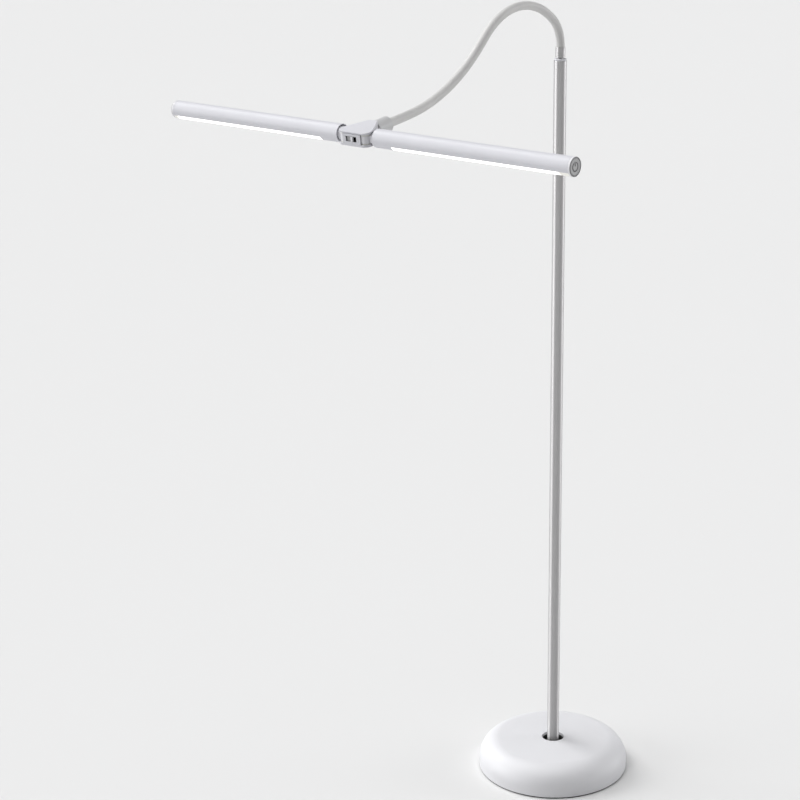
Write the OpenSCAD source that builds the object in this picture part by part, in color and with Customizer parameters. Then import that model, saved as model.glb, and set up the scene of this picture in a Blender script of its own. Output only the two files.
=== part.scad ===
// Adjustable arm floor lamp: a round weighted base, a straight pole, a flexible neck,
// and a folding head with two tubular LED lights.
// Millimetres, +Z up. The origin is the middle of the base, on the floor.
// The two lights lie along X, and the pole stands behind them, towards +Y.

/* [Base] */
// Diameter of the round base
base_d = 240; // [220:5:300]
// Height of the base at its middle
base_h = 50; // [48:1:52]
// Radius of the soft shoulder around the top of the base
shoulder_r = 34; // [30:1:36]
// Radius of the slightly domed top
crown_r = 2000; // [800:50:2500]
// Thickness of the pressed steel cover
cover_wall = 1.5; // [1:0.1:2]
// Diameter of the round opening around the pole's foot
opening_d = 35; // [34:0.5:38]
// Diameter of the cast iron weight
weight_d = 200; // [160:5:200]
// Thickness of the cast iron weight
weight_h = 14.5; // [12:0.5:15]

/* [Pole] */
// Outer diameter of the pole
pole_d = 19; // [18:0.5:20]
// Wall thickness of the pole
pole_wall = 1.2; // [1:0.1:1.5]
// Height of the top of the pole above the floor
pole_top = 1153; // [900:1:1300]

/* [Neck] */
// Outer diameter of the smooth sleeve over the flexible neck
neck_d = 12.5; // [12:0.5:13]
// Straight rise of the neck above the pole
neck_rise = 21; // [21:1:40]
// Radius of the first bend, over the pole
bend_1_r = 52; // [45:1:80]
// Radius of the wide bend at the top
bend_2_r = 127; // [100:1:160]
// Straight length between the top bend and the last bend
neck_drop = 20; // [10:1:40]
// Radius of the last, upward bend
bend_3_r = 290; // [200:5:350]
// Straight length from the last bend to the middle of the hub
neck_end = 103; // [95:1:120]

/* [Hub] */
// Height of the hub at its front edge
hub_h = 19; // [18.5:0.5:20]
// Slope of the lid, up towards the neck
lid_slope = 3.8; // [0:0.2:4]
// Distance of each hinge pin from the middle of the hub
pin_x = 16; // [16:0.5:18]
// Width of the switch window
window_w = 18; // [16:1:18]
// Travel of the brightness slider to the right
slider_travel = 5; // [1:0.5:5]

/* [Lights] */
// Outer diameter of each light tube
tube_d = 25; // [25:0.5:26]
// Length of the left light tube
left_tube_len = 299; // [299:1:340]
// Length of the right light tube
right_tube_len = 307; // [307:1:340]
// Start of the diffuser, from the middle of the hub
diffuser_start = 60; // [58:1:80]
// End of the diffuser, from the middle of the hub
diffuser_end = 323; // [300:1:323]
// Half of the angle that the diffuser covers around the tube
diffuser_angle = 64; // [45:1:70]
// Turn of both diffusers towards the front, from straight down
light_tilt = 0; // [0:5:45]
// Number of LEDs in each light
led_count = 24; // [12:1:30]
// Travel of the power button
button_travel = 0.8; // [0.3:0.1:0.9]

/* [Hidden] */
$fn = 96;
touch = 0.01;
run_gap = 0.07;
free_gap = 0.3;

// Base, from the floor up
foot_h = 2;
plate_h = 2;
base_r = base_d / 2;
crown_z = base_h - crown_r;
shoulder_x = base_r - shoulder_r;
shoulder_z = crown_z + sqrt(pow(crown_r - shoulder_r, 2) - pow(shoulder_x, 2));
opening_r = opening_d / 2;
lip_wall = 1.5;
lip_depth = 10;
plate_top = foot_h + plate_h;
weight_z = plate_top + 0.5;
weight_top = weight_z + weight_h;
flange_h = 3;
pole_foot = weight_top + flange_h;
pole_r = pole_d / 2;
pole_bore_r = pole_r - pole_wall;
cup_z = 33;
cup_floor = 2;
cup_top = 45;
cup_wall = 1.4;
nut_h = 6;
nut_af = 24;
rod_r = 5;
rod_nut_af = 17;
inlet_z = 13;
inlet_r = 5.5;
inlet_bore_r = 2.8;
inlet_depth = 9;
inlet_face = base_r - 0.8;
inlet_len = 15;
screw_ring_r = 70;

// Neck ferrules
bush_flange_h = 3;
bush_len = 18;
spigot_r = 5;
wire_r = 2.4;
ferrule_r = 7.2;
ferrule_z = 4.5;
ferrule_len = 15.5;
neck_seat = 10;
socket_seat = 44;
clip_h = 1.2;
clip_gap = 0.3;

// Neck: a chain of steel cores with ball joints under smooth sleeves
sleeve_r = neck_d / 2;
core_r = sleeve_r - 1.25;
ball_r = core_r + 0.15;
ball_bore_r = wire_r - 0.2;
ball_wall_r = 3.5;
sleeve_bore_r = ball_r + 0.1;
socket_r = ball_r + free_gap;
trim = 0.1;
band_half = 0.6;
band_edge = 0.05;
up = 90;
turn_1 = -51;
turn_2 = -81;
turn_3 = 35;
// Each stretch is [bend radius or 0, turn, straight length]
STRETCHES = [
    [0, 0, neck_rise - neck_seat],
    [bend_1_r, turn_1, 0],
    [bend_2_r, turn_2 / 4, 0],
    [bend_2_r, turn_2 / 4, 0],
    [bend_2_r, turn_2 / 4, 0],
    [bend_2_r, turn_2 / 4, 0],
    [0, 0, neck_drop],
    [bend_3_r, turn_3 / 4, 0],
    [bend_3_r, turn_3 / 4, 0],
    [bend_3_r, turn_3 / 4, 0],
    [bend_3_r, turn_3 / 4, 0],
    [0, 0, neck_end - socket_seat],
    [0, 0, socket_seat],
];
LAST = len(STRETCHES);

// Where stretch i starts: [distance in front of the pole, height, heading above level]
function moved(p, s) = s[0] == 0
    ? [p[0] + s[2] * cos(p[2]), p[1] + s[2] * sin(p[2]), p[2]]
    : let (g = sign(s[1]), h = p[2] + s[1])
      [p[0] + g * s[0] * (sin(h) - sin(p[2])), p[1] + g * s[0] * (cos(p[2]) - cos(h)), h];
function place(i) = i == 0 ? [0, pole_top + neck_seat, up] : moved(place(i - 1), STRETCHES[i - 1]);

// Hub, in its own frame: X along the lights, Y back along the neck, Z up
hub = place(LAST);
hub_half = hub_h / 2;
hub_plate = 3;
gap_half = hub_half - hub_plate;
lid_max = hub_half + 5;
pin_y = -8;
pin_r = 2.5;
pin_len = 18;
plate_arc_r = 9.5;
tail_x = 7;
tail_y = 29.7;
wall_y = -16;
wall_x = 14.7;
back_y = 9.4;
pocket_y = 16;
pocket_x = 7;
socket_face = 30;
socket_d = 22;
socket_end = 57;
roll_spigot_r = 5;
roll_spigot_end = 13;
roll_clip_r = 6.2;
washer_h = 1.5;
washer_r = 7.4;
tongue_half = gap_half - washer_h;
tongue_r = 7.7;
shank_half = 9;
shank_end = 29.5;
shoulder_disc_r = 9.7;
spigot_start = 34;
light_spigot_r = 7.5;
light_spigot_end = 50;
hub_screw_x = 10.8;
hub_screw_y = 14;
hub_screw_r = 1.5;
hub_screw_head_r = 2.6;
hub_screw_reach = 3;
window_h = 7.2;
window_x = -1;
front_y = pin_y - plate_arc_r;
housing_lip = 1.8;
housing_depth = 11;
housing_half = 7.6;
housing_rim = 1;
skirt_h = 0.8;
skirt_gap = 0.25;
knob_w = 3.4;
knob_x = window_x + window_w / 2 - 1 - slider_travel - knob_w;

// Angle at which a straight side leaves the plate's round corner for the tail
side_v = [tail_x - pin_x, tail_y - pin_y];
side_a = atan2(side_v[1], side_v[0]) - acos(plate_arc_r / norm(side_v));
side_pt = [pin_x + plate_arc_r * cos(side_a), pin_y + plate_arc_r * sin(side_a)];

// Lights, each along +X in the hub's frame
tube_r = tube_d / 2;
tube_wall = 1.2;
tube_bore_r = tube_r - tube_wall;
tube_start = 30;
cap_h = 4;
cap_plug = 8;
collar_start = spigot_start + clip_gap;
collar_end = 48;
web_z = 4;
web_h = 1.5;
board_w = 14;
board_h = 1.6;
led_w = 2.8;
led_h = 0.7;
lip_r = tube_bore_r - 0.05;
lip_h = 0.9;
button_r = 10.5;
bezel_r = 10.75;
button_h = 2.2;
button_inset = 0.4;
stem_r = 1.5;
right_end = tube_start + right_tube_len + cap_h;
button_face = right_end - button_inset;
switch_h = 3;
board_x = button_face - button_h - 1 - button_travel - switch_h;

// ---- Shared shapes ----

module ring(outer, inner, h) {
    linear_extrude(h) ring_2d(outer, inner);
}

module ring_2d(outer, inner) {
    difference() {
        circle(outer);
        circle(inner);
    }
}

module hex(af, h) {
    cylinder(r = af / 2 / cos(30), h = h, $fn = 6);
}

module around(count, radius) {
    for (i = [0:count - 1]) rotate([0, 0, i * 360 / count]) translate([radius, 0, 0]) children();
}

// A cylinder along +X from x0 to x1
module along_x(x0, x1, r) {
    translate([x0, 0, 0]) rotate([0, 90, 0]) cylinder(r = r, h = x1 - x0);
}

module ring_x(x0, x1, outer, inner) {
    translate([x0, 0, 0]) rotate([0, 90, 0]) ring(outer, inner, x1 - x0);
}

// A cylinder along +Y from y0 to y1
module along_y(y0, y1, r) {
    translate([0, y0, 0]) rotate([-90, 0, 0]) cylinder(r = r, h = y1 - y0);
}

module ring_y(y0, y1, outer, inner) {
    translate([0, y0, 0]) rotate([-90, 0, 0]) ring(outer, inner, y1 - y0);
}

// ---- Base ----

// Half outline of the base, drawn in by inset all round
module base_outline(inset) {
    r = shoulder_r - inset;
    difference() {
        intersection() {
            union() {
                square([shoulder_x, base_h]);
                square([base_r - inset, shoulder_z]);
                translate([shoulder_x, shoulder_z]) circle(r);
            }
            translate([0, crown_z]) circle(crown_r - inset, $fn = 720);
        }
        translate([-crown_r, -crown_r * 2]) square([crown_r, crown_r * 3]);
        translate([0, -crown_r * 2]) square([crown_r, crown_r * 2 + foot_h]);
    }
}

module cover_outline() {
    difference() {
        base_outline(0);
        difference() {
            base_outline(cover_wall);
            translate([0, base_h - lip_depth]) square([opening_r + lip_wall, base_h]);
        }
        square([opening_r, base_h * 2]);
    }
}

module inlet_place() {
    translate([0, 0, inlet_z]) children();
}

module foot_pad() {
    color("#2b2b2d") cylinder(r = base_r - 1.6, h = foot_h);
}

module base_plate() {
    color("#3a3b3d") translate([0, 0, foot_h]) difference() {
        cylinder(r = base_r - cover_wall - 0.5, h = plate_h);
        around(3, screw_ring_r) translate([0, 0, -1]) cylinder(r = 4.2, h = plate_h + 2);
    }
}

module plate_screws() {
    color("#8d8f92") around(3, screw_ring_r) {
        translate([0, 0, foot_h]) cylinder(r = 4, h = plate_h + 0.5);
        translate([0, 0, weight_z]) cylinder(r = 2, h = 9);
    }
}

module base_weight() {
    color("#55565a") translate([0, 0, weight_z]) difference() {
        cylinder(r = weight_d / 2, h = weight_h);
        translate([0, 0, -1]) cylinder(r = rod_r + 0.2, h = weight_h + 2);
        translate([0, 0, -1]) cylinder(r = 14, h = 8.5);
        around(3, screw_ring_r) translate([0, 0, -1]) cylinder(r = 2, h = 10);
    }
}

module base_cover() {
    color("#eceDf0") difference() {
        rotate_extrude() cover_outline();
        inlet_place() along_y(base_r - 30, base_r + 10, inlet_r + 0.1);
    }
}

module foot_flange() {
    color("#8d8f92") translate([0, 0, weight_top]) ring(15, rod_r + 0.2, flange_h);
}

module pole_rod() {
    color("#9a9c9f") {
        translate([0, 0, weight_z + 0.3]) cylinder(r = rod_r, h = pole_foot - weight_z + 3);
        translate([0, 0, pole_foot + 3]) cylinder(r = pole_bore_r, h = 30);
    }
}

module rod_washer() {
    color("#8d8f92") translate([0, 0, weight_z + 6.5]) ring(10, rod_r, 1);
}

module rod_nut() {
    color("#8d8f92") translate([0, 0, weight_z + 0.6]) difference() {
        hex(rod_nut_af, 5.9);
        translate([0, 0, -1]) cylinder(r = rod_r, h = 8);
    }
}

module recess_cup() {
    outer = opening_r - 0.05;
    color("#1c1c1e") translate([0, 0, cup_z]) {
        difference() {
            cylinder(r = outer, h = cup_top - cup_z);
            translate([0, 0, cup_floor]) cylinder(r = outer - cup_wall, h = cup_top);
            translate([0, 0, -1]) cylinder(r = pole_r + 0.05, h = cup_top);
        }
    }
}

module pole_lock_nut() {
    color("#b9bab4") translate([0, 0, cup_z + cup_floor]) difference() {
        hex(nut_af, nut_h);
        translate([0, 0, -1]) cylinder(r = pole_r, h = nut_h + 2);
    }
}

module dc_inlet() {
    color("#1c1c1e") inlet_place() difference() {
        along_y(inlet_face - inlet_len, inlet_face, inlet_r);
        along_y(inlet_face - inlet_depth, inlet_face + 1, inlet_bore_r);
    }
}

// ---- Pole ----

module pole() {
    color("#e9e9ec") translate([0, 0, pole_foot]) ring(pole_r, pole_bore_r, pole_top - pole_foot);
}

module pole_bush() {
    color("#f4f4f6") translate([0, 0, pole_top]) {
        ring(pole_r, spigot_r + run_gap, bush_flange_h);
        translate([0, 0, -bush_len]) ring(pole_bore_r, spigot_r + run_gap, bush_len);
    }
}

// ---- Neck ----

module neck_place(i) {
    p = place(i);
    translate([0, -p[0], p[1]]) rotate([up - p[2], 0, 0]) children();
}

// One stretch of tube, a little short at both ends
module stretch(s, outer, inner) {
    if (s[0] == 0) translate([0, 0, trim]) ring(outer, inner, s[2] - trim * 2);
    else {
        g = sign(s[1]);
        trim_a = trim / s[0] * 180 / PI;
        translate([0, g * s[0], 0]) rotate([90, 0, -90 * g]) rotate([0, 0, trim_a])
            rotate_extrude(angle = abs(s[1]) - trim_a * 2) translate([s[0], 0]) ring_2d(outer, inner);
    }
}

// Stretches a to b as one, where they share a bend radius
function turned(a, b) = STRETCHES[a][1] + (a == b ? 0 : turned(a + 1, b));
function joined(p) = [STRETCHES[p[0]][0], turned(p[0], p[1]), STRETCHES[p[0]][2]];

// A tube along some stretches, each given as [first, last], with a thin band over each junction
module neck_run(parts, outer, inner) {
    for (p = parts) neck_place(p[0]) stretch(joined(p), outer, inner);
    if (len(parts) > 1) for (i = [1:len(parts) - 1]) neck_place(parts[i][0])
        translate([0, 0, -band_half]) ring(outer + band_edge, inner - band_edge, band_half * 2);
}

module ball_end() {
    rotate_extrude() difference() {
        intersection() {
            circle(ball_r);
            translate([0, -ball_r]) square([ball_r, ball_r * 2]);
        }
        translate([-1, -band_half]) square([ball_bore_r + 1, ball_r * 2]);
        translate([-1, -ball_r * 2]) square([ball_wall_r + 1, ball_r * 2 - band_half]);
    }
}

// One steel link: a socket where it starts and a ball where it ends
module core(parts, has_socket, has_ball) {
    color("#9a9c9f") difference() {
        union() {
            neck_run(parts, core_r, wire_r);
            if (has_ball) neck_place(parts[len(parts) - 1][1] + 1) ball_end();
        }
        if (has_socket) neck_place(parts[0][0]) sphere(socket_r);
    }
}

module sleeve(parts) {
    color("#dcdcde") neck_run(parts, sleeve_r, sleeve_bore_r);
}

module neck_ferrule() {
    color("#e6e6e8") translate([0, 0, pole_top]) difference() {
        union() {
            translate([0, 0, -bush_len - 3]) cylinder(r = spigot_r, h = bush_len + 3 + ferrule_z);
            translate([0, 0, ferrule_z]) cylinder(r = ferrule_r, h = ferrule_len);
        }
        translate([0, 0, -bush_len - 4]) cylinder(r = wire_r, h = 60);
        translate([0, 0, neck_seat]) cylinder(r = sleeve_r + 0.05, h = 30);
        translate([0, 0, -bush_len - clip_gap - clip_h]) ring(spigot_r + 1, spigot_r - 0.6, clip_h);
    }
}

module ferrule_clip() {
    color("#8d8f92") translate([0, 0, pole_top - bush_len - clip_gap - clip_h])
        ring(spigot_r + 2.4, spigot_r - 0.6, clip_h);
}

// ---- Hub ----

module hub_place() {
    translate([0, -hub[0], hub[1]]) rotate([-hub[2], 0, 0]) children();
}

module left_right(side) {
    mirror([side == "left" ? 1 : 0, 0, 0]) children();
}

module both_sides() {
    children();
    mirror([1, 0, 0]) children();
}

module plate_2d() {
    for (x = [-pin_x, pin_x]) translate([x, pin_y]) circle(plate_arc_r);
    polygon([
        [-pin_x, front_y + touch], [pin_x, front_y + touch], side_pt, [tail_x, tail_y],
        [-tail_x, tail_y], [-side_pt[0], side_pt[1]],
    ]);
}

module front_wall_2d() {
    intersection() {
        plate_2d();
        translate([-wall_x, front_y - 5]) square([wall_x * 2, wall_y - front_y + 5]);
    }
}

module back_block_2d() {
    intersection() {
        plate_2d();
        translate([-pin_x, back_y]) square([pin_x * 2, tail_y]);
    }
}

module slab(z0, z1) {
    translate([0, 0, z0]) linear_extrude(z1 - z0) children();
}

module hub_pins_at() {
    both_sides() translate([pin_x, pin_y, 0]) children();
}

module hub_screws_at() {
    both_sides() translate([hub_screw_x, hub_screw_y, 0]) children();
}

module hub_body() {
    color("#dadae0") hub_place() difference() {
        union() {
            slab(-hub_half, -gap_half) plate_2d();
            slab(-gap_half, gap_half) front_wall_2d();
            slab(-gap_half, gap_half) back_block_2d();
        }
        hub_pins_at() translate([0, 0, -pin_len / 2]) cylinder(r = pin_r, h = pin_len);
        hub_screws_at() {
            translate([0, 0, -hub_half - 1]) cylinder(r = hub_screw_r, h = hub_h + 2);
            translate([0, 0, -hub_half - 1]) cylinder(r = hub_screw_head_r, h = hub_screw_reach + 1);
        }
        along_y(0, tail_y + 1, roll_spigot_r + run_gap);
        translate([-pocket_x, back_y - 1, -gap_half])
            cube([pocket_x * 2, pocket_y - back_y + 1, gap_half * 2]);
        translate([window_x - window_w / 2, front_y - 5, -window_h / 2]) cube([window_w, 10, window_h]);
    }
}

module hub_cover() {
    color("#eeeef2") hub_place() difference() {
        slab(gap_half, lid_max) plate_2d();
        translate([0, front_y, hub_half]) rotate([lid_slope, 0, 0])
            translate([-tail_y * 2, -tail_y, 0]) cube(tail_y * 4);
        hub_pins_at() translate([0, 0, -pin_len / 2]) cylinder(r = pin_r, h = pin_len);
        hub_screws_at() translate([0, 0, gap_half - 1]) cylinder(r = hub_screw_r, h = hub_screw_reach + 1);
    }
}

module hub_screws() {
    head_z = -hub_half + hub_screw_reach;
    color("#8d8f92") hub_place() hub_screws_at() {
        translate([0, 0, head_z - 2]) cylinder(r = hub_screw_head_r, h = 2);
        translate([0, 0, head_z]) cylinder(r = hub_screw_r, h = gap_half + hub_screw_reach - head_z);
    }
}

module fold_pins() {
    color("#9a9c9f") hub_place() hub_pins_at()
        translate([0, 0, -pin_len / 2]) cylinder(r = pin_r, h = pin_len);
}

module fold_washers() {
    color("#c9c9c4") hub_place() hub_pins_at() for (z = [-gap_half, gap_half - washer_h])
        translate([0, 0, z]) ring(washer_r, pin_r + run_gap, washer_h);
}

module hub_socket() {
    color("#b9b9bc") hub_place() difference() {
        union() {
            along_y(socket_face, socket_end, socket_d / 2);
            along_y(roll_spigot_end, socket_face, roll_spigot_r);
        }
        along_y(roll_spigot_end - 1, socket_end, wire_r);
        along_y(socket_seat, socket_end + 1, sleeve_r + 0.05);
        ring_y(pocket_y - clip_gap - clip_h, pocket_y - clip_gap, roll_spigot_r + 1, roll_spigot_r - 0.8);
    }
}

module socket_clip() {
    color("#8d8f92") hub_place()
        ring_y(pocket_y - clip_gap - clip_h, pocket_y - clip_gap, roll_clip_r, roll_spigot_r - 0.8);
}

module switch_housing() {
    x0 = window_x - window_w / 2 - housing_rim;
    z0 = -window_h / 2 - housing_rim;
    high = window_h + housing_rim * 2;
    color("#18181a") hub_place() difference() {
        union() {
            translate([x0, wall_y, z0]) cube([window_w + housing_rim * 2, housing_lip, high]);
            translate([-housing_half, wall_y + housing_lip / 2, z0])
                cube([housing_half * 2, housing_depth, high]);
        }
        translate([x0 + housing_rim / 2, wall_y - 1, z0 + housing_rim])
            cube([window_w + housing_rim, 2 + skirt_gap, window_h]);
        translate([1 - housing_half, wall_y - 1, z0 + housing_rim])
            cube([housing_half * 2 - 2, housing_depth - 3, window_h]);
    }
}

module switch_slider() {
    skirt_w = knob_x - window_x + window_w / 2 - free_gap;
    skirt_z = window_h - 0.6;
    color("#f4f4f6") hub_place() {
        translate([knob_x, front_y - 0.6, -skirt_z / 2])
            cube([knob_w, wall_y + skirt_gap + skirt_h - front_y + 0.6, skirt_z]);
        translate([knob_x - skirt_w, wall_y + skirt_gap, -skirt_z / 2])
            cube([skirt_w, skirt_h, skirt_z]);
    }
}

module knuckle(side) {
    color("#e2e2e6") hub_place() left_right(side) difference() {
        union() {
            translate([pin_x, pin_y, -tongue_half]) cylinder(r = tongue_r, h = tongue_half * 2);
            translate([pin_x, -shank_half, -tongue_half])
                cube([shank_end - pin_x, shank_half * 2, tongue_half * 2]);
            along_x(shank_end, spigot_start, shoulder_disc_r);
            along_x(spigot_start, light_spigot_end, light_spigot_r);
        }
        translate([pin_x, pin_y, -tongue_half - 1]) cylinder(r = pin_r + run_gap, h = hub_h);
        along_x(pin_x + 7, light_spigot_end + 1, wire_r);
    }
}

module spigot_clips(side) {
    color("#8d8f92") hub_place() left_right(side)
        ring_x(collar_end + clip_gap, light_spigot_end, light_spigot_r + 1.8, light_spigot_r);
}

// ---- Lights ----

// The light's own frame: turned so that its diffuser looks to the front
module light_place(side) {
    hub_place() left_right(side) rotate([-light_tilt, 0, 0]) children();
}

function tube_end(side) = tube_start + (side == "left" ? left_tube_len : right_tube_len);

// A pie slice around straight down, seen along the tube, wide enough for the diffuser
module pie_2d(angle) {
    far = tube_r * 3;
    polygon([
        [0, 0], [far * cos(angle), -far * sin(angle)], [far * 2, -far * sin(angle)],
        [far * 2, far * sin(angle)], [far * cos(angle), far * sin(angle)],
    ]);
}

// Part of a ring between two radii, within the diffuser's angle, along the tube
module arc_bar(x0, x1, outer, inner, angle) {
    translate([x0, 0, 0]) rotate([0, 90, 0]) linear_extrude(x1 - x0) intersection() {
        ring_2d(outer, inner);
        pie_2d(angle);
    }
}

module light_tube(side) {
    color("#e3e3e9") light_place(side) difference() {
        ring_x(tube_start, tube_end(side), tube_r, tube_bore_r);
        arc_bar(diffuser_start, diffuser_end, tube_r * 2, tube_bore_r - 2, diffuser_angle);
    }
}

module collar(side) {
    color("#d4d4d8") light_place(side)
        ring_x(collar_start, collar_end, tube_bore_r, light_spigot_r + run_gap);
}

module diffuser(side) {
    color("#fdfdf6") light_place(side) {
        arc_bar(diffuser_start + 0.2, diffuser_end - 0.2, tube_r, lip_r - lip_h, diffuser_angle - 0.6);
        arc_bar(diffuser_start + 0.2, diffuser_end - 0.2, lip_r, lip_r - lip_h, diffuser_angle + 5);
    }
}

module web(side) {
    color("#c4c5c9") light_place(side) intersection() {
        along_x(diffuser_start, diffuser_end, tube_bore_r);
        translate([diffuser_start, -tube_r, web_z]) cube([diffuser_end - diffuser_start, tube_d, web_h]);
    }
}

module led_board(side) {
    color("#f0f0ea") light_place(side) translate([diffuser_start + 2, -board_w / 2, web_z - board_h])
        cube([diffuser_end - diffuser_start - 4, board_w, board_h]);
}

module leds(side) {
    pitch = (diffuser_end - diffuser_start - 16) / (led_count - 1);
    color("#f7e38c") light_place(side) for (i = [0:led_count - 1])
        translate([diffuser_start + 8 + i * pitch - led_w / 2, -led_w / 2, web_z - board_h - led_h])
            cube([led_w, led_w, led_h]);
}

module end_cap_left() {
    end = tube_end("left");
    color("#d9d9de") light_place("left") {
        along_x(end, end + cap_h - 1, tube_r);
        translate([end + cap_h - 1, 0, 0]) rotate([0, 90, 0]) cylinder(r1 = tube_r, r2 = tube_r - 1, h = 1);
        ring_x(diffuser_end + 1, end, tube_bore_r, tube_bore_r - 1.5);
    }
}

module button_bezel() {
    end = tube_end("right");
    color("#8f8f91") light_place("right") {
        ring_x(end, end + cap_h, tube_r, bezel_r);
        ring_x(end - cap_plug, end, tube_bore_r, bezel_r);
    }
}

module power_button() {
    color("#b4b4b6") light_place("right") {
        along_x(button_face - button_h, button_face, button_r);
        along_x(button_face - button_h - 1, button_face - button_h, stem_r);
    }
}

// A ring open at the top with a bar in its gap
module power_symbol() {
    symbol_r = 6.3;
    line = 1.6;
    color("#6f6f71") light_place("right") rotate([light_tilt, 0, 0])
        translate([button_face, 0, 0]) rotate([90, 0, 90]) linear_extrude(0.15) {
            difference() {
                ring_2d(symbol_r, symbol_r - line);
                polygon([[0, 0], [-symbol_r, symbol_r * 1.6], [symbol_r, symbol_r * 1.6]]);
            }
            translate([-line / 2, 1]) square([line, symbol_r]);
        }
}

module button_board() {
    color("#3f6b4a") light_place("right") along_x(board_x - board_h, board_x, bezel_r);
}

module button_switch() {
    color("#2b2b2d") light_place("right") translate([board_x, -3, -3]) cube([switch_h, 6, 6]);
}

// ---- Nodes ----

foot_pad();
base_plate();
plate_screws();
base_weight();
base_cover();
foot_flange();
pole_rod();
rod_washer();
rod_nut();
recess_cup();
pole_lock_nut();
dc_inlet();
pole();
pole_bush();
neck_ferrule();
ferrule_clip();
core([[0, 0], [1, 1]], false, true);  // neck_core_0
core([[2, 3]], true, true);  // neck_core_1
core([[4, 5]], true, true);  // neck_core_2
core([[6, 6], [7, 8]], true, true);  // neck_core_3
core([[9, 10]], true, true);  // neck_core_4
core([[11, 11]], true, false);  // neck_core_5
sleeve([[0, 0], [1, 1], [2, 2]]);  // neck_sleeve_1
sleeve([[3, 4]]);  // neck_sleeve_2
sleeve([[5, 5], [6, 6], [7, 7]]);  // neck_sleeve_3
sleeve([[8, 9]]);  // neck_sleeve_4
sleeve([[10, 10], [11, 11]]);  // neck_sleeve_5
hub_socket();
socket_clip();
hub_body();
hub_cover();
hub_screws();
fold_pins();
fold_washers();
switch_housing();
switch_slider();
knuckle("left");  // knuckle_left
knuckle("right");  // knuckle_right
spigot_clips("left");  // spigot_clips_left
spigot_clips("right");  // spigot_clips_right
light_tube("left");  // tube_left
light_tube("right");  // tube_right
collar("left");  // collar_left
collar("right");  // collar_right
diffuser("left");  // diffuser_left
diffuser("right");  // diffuser_right
web("left");  // web_left
web("right");  // web_right
led_board("left");  // led_board_left
led_board("right");  // led_board_right
leds("left");  // leds_left
leds("right");  // leds_right
end_cap_left();
button_bezel();
power_button();
power_symbol();
button_board();
button_switch();
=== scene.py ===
"""Adjustable arm floor lamp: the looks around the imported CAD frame.

Lengths in the tables below are millimetres; mesh helpers turn them into metres.
"""

import math

import bmesh
import bpy
from mathutils import Matrix, Vector


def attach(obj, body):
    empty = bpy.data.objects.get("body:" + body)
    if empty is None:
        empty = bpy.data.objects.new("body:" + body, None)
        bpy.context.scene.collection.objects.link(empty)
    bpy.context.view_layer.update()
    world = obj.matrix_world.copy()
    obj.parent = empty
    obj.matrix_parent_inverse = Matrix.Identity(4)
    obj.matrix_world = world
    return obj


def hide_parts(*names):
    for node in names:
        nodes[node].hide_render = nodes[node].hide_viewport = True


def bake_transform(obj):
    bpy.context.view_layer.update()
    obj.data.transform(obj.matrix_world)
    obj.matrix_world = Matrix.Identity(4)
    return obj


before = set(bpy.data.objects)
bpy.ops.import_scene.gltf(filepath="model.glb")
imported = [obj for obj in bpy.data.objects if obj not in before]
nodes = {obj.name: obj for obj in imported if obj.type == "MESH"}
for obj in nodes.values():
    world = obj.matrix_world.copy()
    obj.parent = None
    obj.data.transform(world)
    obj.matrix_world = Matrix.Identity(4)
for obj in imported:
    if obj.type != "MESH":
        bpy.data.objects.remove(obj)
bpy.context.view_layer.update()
MM = 0.001

# ---- Sizes shared with the CAD model, in millimetres ----

BASE_R, BASE_H, FOOT_H = 120.0, 50.0, 2.0
SHOULDER_R, CROWN_R, OPENING_R = 34.0, 2000.0, 17.5
COVER_WALL, LIP_WALL, LIP_DEPTH, LIP_ROLL = 1.5, 1.5, 10.0, 1.3
INLET_Z, INLET_R, INLET_BORE_R = 13.0, 5.5, 2.8
INLET_FACE, INLET_LENGTH, INLET_BORE_DEPTH = 119.2, 15.0, 9.0
POLE_R, POLE_TOP, POLE_FOOT = 9.5, 1153.0, 22.0
NECK_R, NECK_BORE_R, CORE_R, CORE_BORE_R = 6.25, 5.25, 4.5, 2.4
# The fitting at each end of the neck: its spigot, and its bore for the sleeve
SPIGOT_R, SLEEVE_BORE_R, COLLAR_R, SOCKET_R = 5.0, 6.3, 7.2, 11.0
TUBE_R, TUBE_BORE_R, CAP_H, DIFFUSER_END = 12.5, 11.3, 4.0, 323.0
# The collar inside each tube: its bore, and where it starts and ends along the tube
INNER_COLLAR_BORE_R, INNER_COLLAR_START, INNER_COLLAR_END = 7.57, 34.3, 48.0
# The plain cap is hollow; the bezel reaches into its tube, and the button sits just inside it
CAP_BORE_R, BEZEL_BORE_R, BEZEL_DEPTH, BUTTON_R = 9.8, 10.75, 8.0, 10.5
# The slider's skirt, left of here, is painted grey for the shade in its recess; its white knob is
# to the right
KNOB_X = -1.4
# Height over width at the diffuser's edges, 64 degrees each way from straight down
DIFFUSER_SLOPE = 1 / math.tan(math.radians(64.0))
TUBE_END = {"left": 329.0, "right": 337.0}

# Neck stretches: (bend radius or 0, turn in degrees, straight length)
STRETCHES = (
    [(0, 0, 11.0), (52.0, -51.0, 0)]
    + [(127.0, -20.25, 0)] * 4
    + [(0, 0, 20.0)]
    + [(290.0, 8.75, 0)] * 4
    + [(0, 0, 59.0), (0, 0, 44.0)]
)


def along(place, stretch, part=1.0):
    """The place [distance in front of the pole, height, heading] after part of a stretch."""
    u, z, h = place
    radius, turn, length = stretch
    if radius == 0:
        a = math.radians(h)
        return (u + length * part * math.cos(a), z + length * part * math.sin(a), h)
    g = math.copysign(1, turn)
    h2 = h + turn * part
    a, b = math.radians(h), math.radians(h2)
    return (
        u + g * radius * (math.sin(b) - math.sin(a)),
        z + g * radius * (math.cos(a) - math.cos(b)),
        h2,
    )


PLACES = [(0.0, POLE_TOP + 10.0, 90.0)]
for stretch in STRETCHES:
    PLACES.append(along(PLACES[-1], stretch))
HUB = PLACES[-1]


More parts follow.
